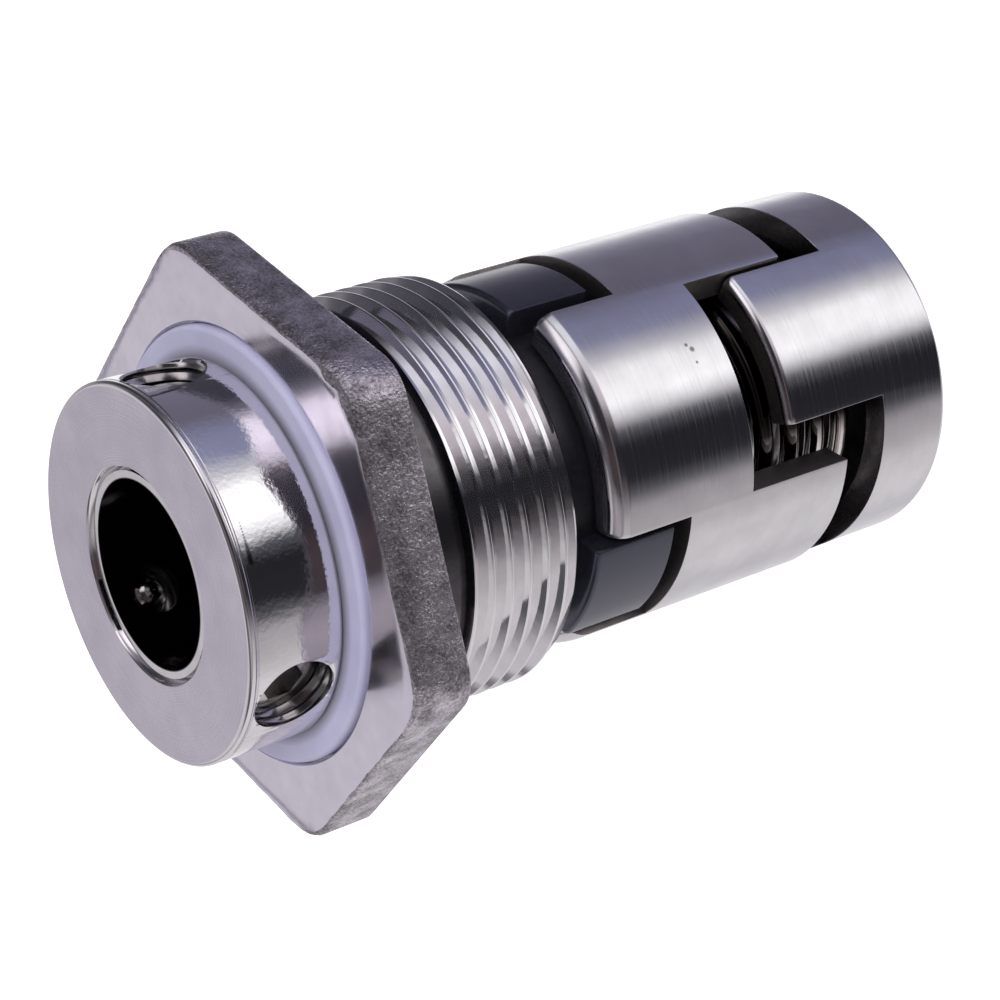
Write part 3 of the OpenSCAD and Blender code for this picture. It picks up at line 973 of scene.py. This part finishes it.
@dataclass
class Collar(SubAssembly):
    """The set-screw collar on the end of the sleeve."""

    low: float = 48.18
    high: float = 54.58
    radius: float = 12.0
    bore_r: float = 6.52
    relief_r: float = 6.8
    relief_depth: float = 1.2
    relief_chamfer: float = 0.1
    round_edge: float = 0.3
    groove_low: float = 0.62
    groove_high: float = 0.46
    groove_depth: float = 0.07
    groove_slope: float = 0.03
    screw_z: float = 51.33
    turn: float = -41.7
    hole_r: float = 2.5
    hole_from: float = 5.0
    hole_to: float = 13.0
    screw_pitch: float = 0.8
    screw_depth: float = 0.24
    screw_crest: float = 0.1
    mouth_from: float = 11.8
    mouth_slope: float = 0.8
    phases: Tuple[float, ...] = (0.0, 0.25, 0.5, 0.75)

    def hole_reach(self, place: float, z: float) -> float:
        """Radius of a threaded hole with its countersunk mouth.

        Args:
            place: place along the thread, in pitches from a crest.
            z: distance from the shaft axis.

        Returns:
            The radius.
        """
        away = abs(place - round(place))
        groove = self.screw_depth * max(0.0, (away - self.screw_crest) / (0.5 - self.screw_crest))
        return self.hole_r + max(groove, self.mouth_slope * (z - self.mouth_from))

    def cutter(self, index: int) -> bpy.types.Object:
        """A threaded rod that cuts one screw hole.

        Args:
            index: the hole's number.

        Returns:
            The cutting object.
        """
        thread = helix(self.hole_from, self.hole_to, self.screw_pitch, self.phases, self.hole_reach, 0)
        rows = [*turned((0.0, self.hole_from, 0)), *thread, *turned((0.0, self.hole_to, 0))]
        bm = rings(rows, 64, closed=False)
        piece = make_piece(f"cutter_{index}", bm, self.take(Finish.SCREW_METAL))
        angle = math.radians(self.turn + 120 * index)
        piece.matrix_world = (Matrix.Translation((0, 0, self.screw_z * MM)) @ Matrix.Rotation(angle, 4, "Z")
                              @ Matrix.Rotation(math.pi / 2, 4, "Y"))
        return piece

    def profile(self) -> Profile:
        """The collar's outline, from its lower face round to its relief.

        Returns:
            The closed profile.
        """
        part, e = CollarPart, self.round_edge
        low, high, r = self.low, self.high, self.radius
        groove_r = r - self.groove_depth
        return [
            (self.bore_r, low, part.FACE), (r - e, low, part.EDGE),
            *corner(r, low, -90, e, part.EDGE)[:-1],
            (r, low + e, part.SIDE), (r, (low + high) / 2, part.SIDE), (r, high - self.groove_low, part.EDGE),
            (groove_r, high - self.groove_low + self.groove_slope, part.EDGE),
            (groove_r, high - self.groove_high - self.groove_slope, part.EDGE),
            (r, high - self.groove_high, part.EDGE),
            *corner(r, high, 0, e, part.EDGE)[:-1],
            (r - e, high, part.FACE), (self.relief_r + self.relief_chamfer, high, part.EDGE),
            (self.relief_r, high - self.relief_chamfer, part.EDGE),
            (self.relief_r, high - self.relief_depth, part.HOLE),
            (self.bore_r, high - self.relief_depth, part.HOLE)]

    def build(self) -> None:
        """Makes the collar and dresses its screws and the sleeve."""
        finishes = self.take(Finish.COLLAR_SIDE, Finish.COLLAR_FACE, Finish.SCREW_METAL, Finish.COLLAR_EDGE)
        collar = make_piece("screw_collar", lathe(self.profile(), 256), finishes, 26, True)
        cutters = [self.cutter(i) for i in range(3)]
        for cutter in cutters:
            hole = collar.modifiers.new(cutter.name, "BOOLEAN")
            hole.operation = "DIFFERENCE"
            hole.solver = "EXACT"
            hole.object = cutter
            hole.material_mode = "TRANSFER"
        bpy.context.view_layer.update()
        shape = bpy.data.meshes.new_from_object(collar.evaluated_get(bpy.context.evaluated_depsgraph_get()))
        for hole in [m for m in collar.modifiers if m.type == "BOOLEAN"]:
            collar.modifiers.remove(hole)
        collar.data = shape
        for cutter in cutters:
            bpy.data.objects.remove(cutter)
        shape.set_sharp_from_angle(angle=math.radians(30))
        self.place(collar, Body.SLEEVE, Slot.COLLAR_CHROME, "drive_collar")
        self.dress("shaft_sleeve", Finish.SLEEVE_METAL)
        for name in ("set_screw_1", "set_screw_2", "set_screw_3"):
            self.dress(name, Finish.SCREW_METAL)


@dataclass
class Carrier(SubAssembly):
    """The lugged cage that holds the rotating ring."""

    outer: float = 12.4
    inner: float = 10.3
    front: Lugs = Lugs(12.5, 73.8)
    rear: Lugs = Lugs(71.3, 51.5)
    rear_end: float = 9.1
    band_low: float = 17.2
    band_high: float = 22.3
    front_end: float = 28.4
    front_round: float = 1.3
    crisp: float = 0.08
    web_r: float = 6.95
    web_low: float = 18.6
    web_high: float = 20.6

    def wall(self, angle: float, z: float) -> bool:
        """Tells whether the cage has wall at an angle and height."""
        if z > self.band_high:
            return self.front.holds(angle)
        return z > self.band_low or self.rear.holds(angle)

    def build(self) -> None:
        """Makes the cage and dresses what lies behind it."""
        bm = cage(self.wall, Lugs.changes(self.front.turn, self.front, self.rear),
                  [self.rear_end, self.band_low, self.band_high, self.front_end],
                  self.inner, self.outer, self.front_round, self.crisp)
        edge, low, high = self.inner + 0.3, self.web_low, self.web_high
        web = band(CagePart.INSIDE, (self.web_r, low), (edge, low), (edge, high), (self.web_r, high))
        lathe(web, 128, bm)
        # Inner faces get near-black painted shade; cut faces a darker finish that is partly painted shade.
        finishes = self.take(Finish.CAGE_METAL, Finish.CAGE_INSIDE, Finish.CUT_METAL, Finish.LUG_END)
        piece = make_piece("ring_cage", bm, finishes, 40, True)
        self.place(piece, Body.SEAL_RING, Slot.CAGE_STEEL, "ring_carrier")
        # The washer behind the cage gets the near-black painted shade.
        self.dress("thrust_washer", Finish.CAGE_INSIDE)
        self.dress("sleeve_o_ring", Finish.RUBBER_BLACK)


@dataclass
class ToothedRing(SubAssembly):
    """The black rotating ring, whose teeth stand between the carrier's front lugs."""

    teeth: Lugs = Lugs(74.1, 38.5)
    tooth_low: float = 23.4
    tooth_high: float = 29.6
    tooth_inner: float = 9.7
    tooth_outer: float = 12.15
    tooth_round: float = 0.45
    crisp: float = 0.15
    bore_r: float = 6.95
    back: float = 23.6
    skirt_r: float = 8.4
    skirt_low: float = 21.8
    radius: float = 10.1
    shoulder_round: float = 0.35
    top: float = 31.25
    face_outer: float = 9.3
    face_inner: float = 7.7
    face_rise: float = 0.4

    def build(self) -> None:
        """Makes the ring with its three driving teeth."""
        part = CagePart.BODY
        bm = cage(lambda angle, _z: self.teeth.holds(angle), Lugs.changes(0.0, self.teeth),
                  [self.tooth_low, self.tooth_high], self.tooth_inner, self.tooth_outer,
                  self.tooth_round, self.crisp)
        shoulder = self.top - self.face_rise
        body = band(part, (self.bore_r, self.back), (self.skirt_r, self.back), (self.skirt_r, self.skirt_low),
                    (self.radius, self.skirt_low))
        body += corner(self.radius, shoulder, 0, self.shoulder_round, part)
        body += band(part, (self.face_outer, shoulder), (self.face_outer, self.top),
                     (self.face_inner, self.top), (self.face_inner, shoulder), (self.bore_r, shoulder))
        lathe(body, 160, bm)
        finishes = self.take(*[Finish.SEAL_BLACK] * part, Finish.GROUND_BLACK)
        piece = make_piece("toothed_ring", bm, finishes, 40, True)
        self.place(piece, Body.SEAL_RING, Slot.SEAL_CARBIDE, "rotating_ring")


@dataclass
class Driver(SubAssembly):
    """The lugged cup at the free end, with the spring that it holds."""

    outer: float = 12.05
    inner: float = 10.25
    lugs: Lugs = Lugs(18.85, 51.7)
    rim: float = 5.6
    lug_end: float = 13.7
    front_round: float = 0.6
    crisp: float = 0.08
    chamfer: float = 0.45
    floor: float = 4.2
    bore_r: float = 6.2
    sleeve_r: float = 6.52
    sleeve_end: float = 3.0
    groove_r: float = 7.8
    groove_low: float = 1.2
    spring_low: float = 4.7
    spring_high: float = 18.6
    wire: float = 1.3
    coil_r: float = 8.75
    open_turns: float = 4.5
    wire_sides: int = 14
    wire_steps: int = 48

    def build(self) -> None:
        """Makes the cup and the spring."""
        bm = cage(lambda angle, z: z < self.rim or self.lugs.holds(angle),
                  Lugs.changes(self.lugs.turn, self.lugs), [0.0, self.rim, self.lug_end],
                  self.inner, self.outer, self.front_round, self.crisp, self.chamfer)
        edge = self.inner + 0.4
        bottom = band(CagePart.OUTSIDE, (self.bore_r, 0.0), (edge, 0.0))
        bottom += band(CagePart.INSIDE, (edge, self.floor), (self.sleeve_r, self.floor),
                       (self.sleeve_r, self.sleeve_end), (self.groove_r, self.sleeve_end),
                       (self.groove_r, self.groove_low), (self.bore_r, self.groove_low))
        lathe(bottom, 160, bm)
        # The driver's window sides take the relief finish's painted shade; its lug ends take the darker cut
        # finish, partly painted shade.
        finishes = self.take(Finish.CAGE_METAL, Finish.CAGE_INSIDE, Finish.RELIEF_METAL, Finish.CUT_METAL)
        piece = make_piece("lugged_driver", bm, finishes, 40, True)
        self.place(piece, Body.SLEEVE, Slot.CAGE_STEEL, "driver")
        self.dress("shaft_o_ring", Finish.RUBBER_BLACK)
        # The spring washer gets the near-black painted shade.
        self.dress("spring_washer", Finish.CAGE_INSIDE)
        self.spring()

    def height(self, t: float, turns: float) -> float:
        """Height of the wire's centre after a number of turns, with one closed turn at each end.

        Args:
            t: turns from the lower end.
            turns: turns in all.

        Returns:
            The height.
        """
        dead = self.wire * 1.02
        low = self.spring_low + self.wire / 2
        lift = (self.spring_high - self.spring_low - self.wire - 2 * dead) / self.open_turns
        if t < 1:
            return low + dead * t
        if t > turns - 1:
            return low + dead + lift * self.open_turns + dead * (t - turns + 1)
        return low + dead + lift * (t - 1)

    def spring(self) -> None:
        """Makes the coil spring between the driver and the cage."""
        turns = self.open_turns + 2
        steps = int(turns * self.wire_steps)
        bm = bmesh.new()
        loops = []
        for i in range(steps + 1):
            t = turns * i / steps
            z = self.height(t, turns)
            loop = []
            for k in range(self.wire_sides):
                b = TURN * k / self.wire_sides
                r = self.coil_r + self.wire / 2 * math.cos(b)
                point = (r * math.cos(TURN * t), r * math.sin(TURN * t), z + self.wire / 2 * math.sin(b))
                loop.append(bm.verts.new(point))
            loops.append(loop)
        for one, two in zip(loops, loops[1:]):
            for k in range(self.wire_sides):
                bm.faces.new((one[k - 1], two[k - 1], two[k], one[k]))
        bm.faces.new(loops[0])
        bm.faces.new(loops[-1])
        piece = make_piece("coil_spring", bm, self.take(Finish.SPRING_METAL))
        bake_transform(piece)
        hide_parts("spring")
        LOG.info("coil_spring bends between sleeve and seal_ring")


# Studio


@dataclass
class Studio:
    """Floor, light and camera.

    Polished metal sees three rings of light and dark, one above the other, each as colours by the azimuth of
    the reflected ray. The bands show in the cylinders, the horizon in the thread's flanks and the strips in
    the faces that look up.
    """

    camera_mm: Place = (153.837, 25.298, 127.118)
    camera_deg: Place = (-26.2883, 53.5484, -21.379)
    lens: float = 102.817
    sensor: float = 36.0
    ambient: float = 0.42
    floor_glow: float = 0.72
    floor_mm: float = 3000.0
    floor_z: float = -0.00002
    dusk: Colour = (0.2, 0.19, 0.22)
    zenith: Colour = (0.12, 0.115, 0.13)
    strips: Stops = (
        (-180, (0.63, 0.61, 0.64)), (-140, (0.64, 0.61, 0.65)), (-117, (0.55, 0.52, 0.56)),
        (-102, (0.1, 0.1, 0.11)), (-84, (0.08, 0.08, 0.09)), (-71, (0.38, 0.35, 0.37)),
        (-52, (0.44, 0.4, 0.43)), (-41, (0.32, 0.3, 0.32)), (-30, (0.05, 0.042, 0.043)),
        (-10, (0.07, 0.048, 0.048)), (11, (0.025, 0.022, 0.03)), (36, (0.035, 0.034, 0.042)),
        (44, (0.1, 0.09, 0.1)), (54, (0.95, 0.88, 0.95)), (66, (1.25, 1.16, 1.25)), (78, (1.25, 1.17, 1.25)),
        (90, (0.2, 0.19, 0.23)), (102, (0.05, 0.05, 0.065)), (124, (0.055, 0.055, 0.07)),
        (143, (0.1, 0.095, 0.115)), (160, (0.55, 0.52, 0.57)))
    horizon: Stops = (
        (-180, (0.6, 0.58, 0.61)), (-120, (0.68, 0.66, 0.68)), (-80, (0.72, 0.7, 0.72)),
        (-60, (0.66, 0.63, 0.65)), (-45, (0.5, 0.47, 0.49)), (-36, (0.28, 0.26, 0.27)),
        (-26, (0.11, 0.1, 0.105)), (-17, (0.03, 0.028, 0.03)), (-3, (0.018, 0.018, 0.02)),
        (8, (0.07, 0.065, 0.07)), (17, (0.32, 0.29, 0.31)), (25, (0.68, 0.62, 0.67)),
        (36, (0.75, 0.69, 0.75)), (50, (0.78, 0.76, 0.82)), (64, (0.92, 0.92, 1.0)),
        (74, (0.85, 0.86, 0.94)), (84, (0.4, 0.4, 0.45)), (93, (0.12, 0.12, 0.135)),
        (101, (0.045, 0.045, 0.05)), (136, (0.04, 0.04, 0.045)), (152, (0.12, 0.12, 0.13)),
        (168, (0.45, 0.44, 0.46)))
    bands: Stops = (
        (-180, (0.95, 0.94, 0.96)), (-150, (0.75, 0.73, 0.76)), (-125, (0.62, 0.6, 0.64)),
        (-100, (0.74, 0.72, 0.74)), (-76, (0.7, 0.68, 0.7)), (-60, (0.5, 0.48, 0.5)),
        (-42, (0.38, 0.36, 0.38)), (-33, (0.1, 0.1, 0.11)), (-25, (0.022, 0.022, 0.027)),
        (-3, (0.018, 0.018, 0.023)), (6, (0.1, 0.1, 0.12)), (15, (0.95, 0.93, 0.97)), (22, (1.3, 1.28, 1.3)),
        (40, (1.2, 1.18, 1.2)), (50, (0.62, 0.61, 0.66)), (62, (0.26, 0.265, 0.4)),
        (78, (0.22, 0.225, 0.35)), (92, (0.14, 0.13, 0.18)), (125, (0.17, 0.16, 0.22)),
        (140, (0.26, 0.25, 0.32)), (151, (0.5, 0.49, 0.56)), (161, (1.05, 1.04, 1.06)))

    def build(self) -> None:
        """Sets the floor, the world, the lamps and the camera."""
        self.floor()
        self.world()
        self.lamp("key_lamp", (0.55, 0.35, 0.5), 0.45, 3.2)
        self.lamp("fill_lamp", (-0.35, -0.45, 0.55), 0.6, 1.4)
        self.camera()
        bpy.context.scene.view_settings.view_transform = "Standard"

    def floor(self) -> None:
        """Makes the pale floor, which stays white to the camera and keeps the shadow."""
        bm = bmesh.new()
        bmesh.ops.create_circle(bm, cap_ends=True, segments=96, radius=self.floor_mm)
        material = bpy.data.materials.new("pale_floor")
        sheet = NodeSheet(material)
        pale = sheet.mix(sheet.spread(sheet.noise(40.0, 3.0), 0.3, 0.7), (0.9, 0.9, 0.9), (0.94, 0.94, 0.94))
        diffuse = sheet.add("ShaderNodeBsdfDiffuse")
        sheet.link(pale, diffuse.inputs["Color"])
        glow = sheet.add("ShaderNodeEmission")
        seen = self.seen(sheet, sheet.add("ShaderNodeLightPath"))
        sheet.link(sheet.math("MULTIPLY", seen, self.floor_glow), glow.inputs["Strength"])
        both = sheet.add("ShaderNodeAddShader")
        sheet.link(diffuse.outputs["BSDF"], both.inputs[0])
        sheet.link(glow.outputs["Emission"], both.inputs[1])
        sheet.link(both.outputs["Shader"], sheet.out.inputs["Surface"])
        floor = make_piece("pale_floor", bm, [material])
        floor.location.z = self.floor_z
        floor.visible_glossy = False

    @staticmethod
    def seen(sheet: NodeSheet, path: bpy.types.Node) -> Socket:
        """Gives 1 where the camera sees a point, straight or through something clear."""
        return sheet.math("MAXIMUM", path.outputs["Is Camera Ray"], path.outputs["Is Transmission Ray"])

    def world(self) -> None:
        """Makes a white room, in which shiny metal sees the rings of light and dark."""
        world = bpy.data.worlds.new("studio")
        bpy.context.scene.world = world
        sheet = NodeSheet(world, "ShaderNodeOutputWorld")
        split = sheet.add("ShaderNodeSeparateXYZ")
        sheet.link(sheet.add("ShaderNodeTexCoord").outputs["Generated"], split.inputs["Vector"])
        azimuth = sheet.math("ARCTAN2", split.outputs["Y"], split.outputs["X"])
        share = sheet.spread(azimuth, -math.pi, math.pi)
        room, horizon, strips = (self.ring(sheet, share, stops)
                                 for stops in (self.bands, self.horizon, self.strips))
        for low, high, above in ((-0.4, -0.29, horizon), (0.22, 0.28, self.dusk), (0.3, 0.38, strips),
                                 (0.78, 0.9, self.zenith)):
            room = sheet.mix(sheet.spread(split.outputs["Z"], low, high, kind="SMOOTHSTEP"), room, above)
        path = sheet.add("ShaderNodeLightPath")
        lit = sheet.mix(path.outputs["Is Glossy Ray"], (self.ambient,) * 3, room)
        light = sheet.add("ShaderNodeBackground")
        sheet.link(sheet.mix(self.seen(sheet, path), lit, WHITE), light.inputs["Color"])
        sheet.link(light.outputs["Background"], sheet.out.inputs["Surface"])

    @staticmethod
    def ring(sheet: NodeSheet, share: Socket, stops: Stops) -> Socket:
        """One ring of the room.

        Args:
            sheet: the world's node sheet.
            share: azimuth from 0 at -180 degrees to 1 at 180.
            stops: azimuths with their colours.

        Returns:
            The ring's colour.
        """
        node = sheet.add("ShaderNodeValToRGB")
        made = node.color_ramp.elements
        made.remove(made[1])
        made[0].position = 0.0
        made[0].color = (*stops[0][1], 1)
        for angle, colour in (*stops[1:], (180, stops[0][1])):
            made.new((angle + 180) / 360).color = (*colour, 1)
        sheet.link(share, node.inputs["Fac"])
        return node.outputs["Color"]

    def lamp(self, name: str, place: Place, size: float, power: float) -> None:
        """Adds a soft lamp that looks at the seal.

        Args:
            name: the lamp's name.
            place: where it stands, in metres.
            size: its side in metres.
            power: its power in watts.
        """
        data = bpy.data.lights.new(name, "AREA")
        data.size = size
        data.energy = power
        lamp = bpy.data.objects.new(name, data)
        lamp.location = place
        lamp.rotation_euler = (Vector((0, 0, 0.03)) - Vector(place)).to_track_quat("-Z", "Y").to_euler()
        lamp.visible_glossy = False
        bpy.context.scene.collection.objects.link(lamp)

    def camera(self) -> None:
        """Sets the camera at the photograph's place."""
        data = bpy.data.cameras.new("photo_camera")
        data.lens = self.lens
        data.sensor_width = self.sensor
        data.sensor_fit = "HORIZONTAL"
        data.clip_start = 0.01
        data.clip_end = 20.0
        camera = bpy.data.objects.new("photo_camera", data)
        camera.location = [c * MM for c in self.camera_mm]
        camera.rotation_euler = [math.radians(a) for a in self.camera_deg]
        bpy.context.scene.collection.objects.link(camera)
        bpy.context.scene.camera = camera


def main() -> None:
    """Builds every sub-assembly in order."""
    logging.basicConfig(level=logging.INFO, format="%(name)s: %(message)s")
    Studio().build()
    made = {finish: finish.value.build(finish.name.lower()) for finish in Finish}
    for kind in (Head, Collar, Carrier, ToothedRing, Driver):
        kind(made).build()


if __name__ == "__main__":
    main()
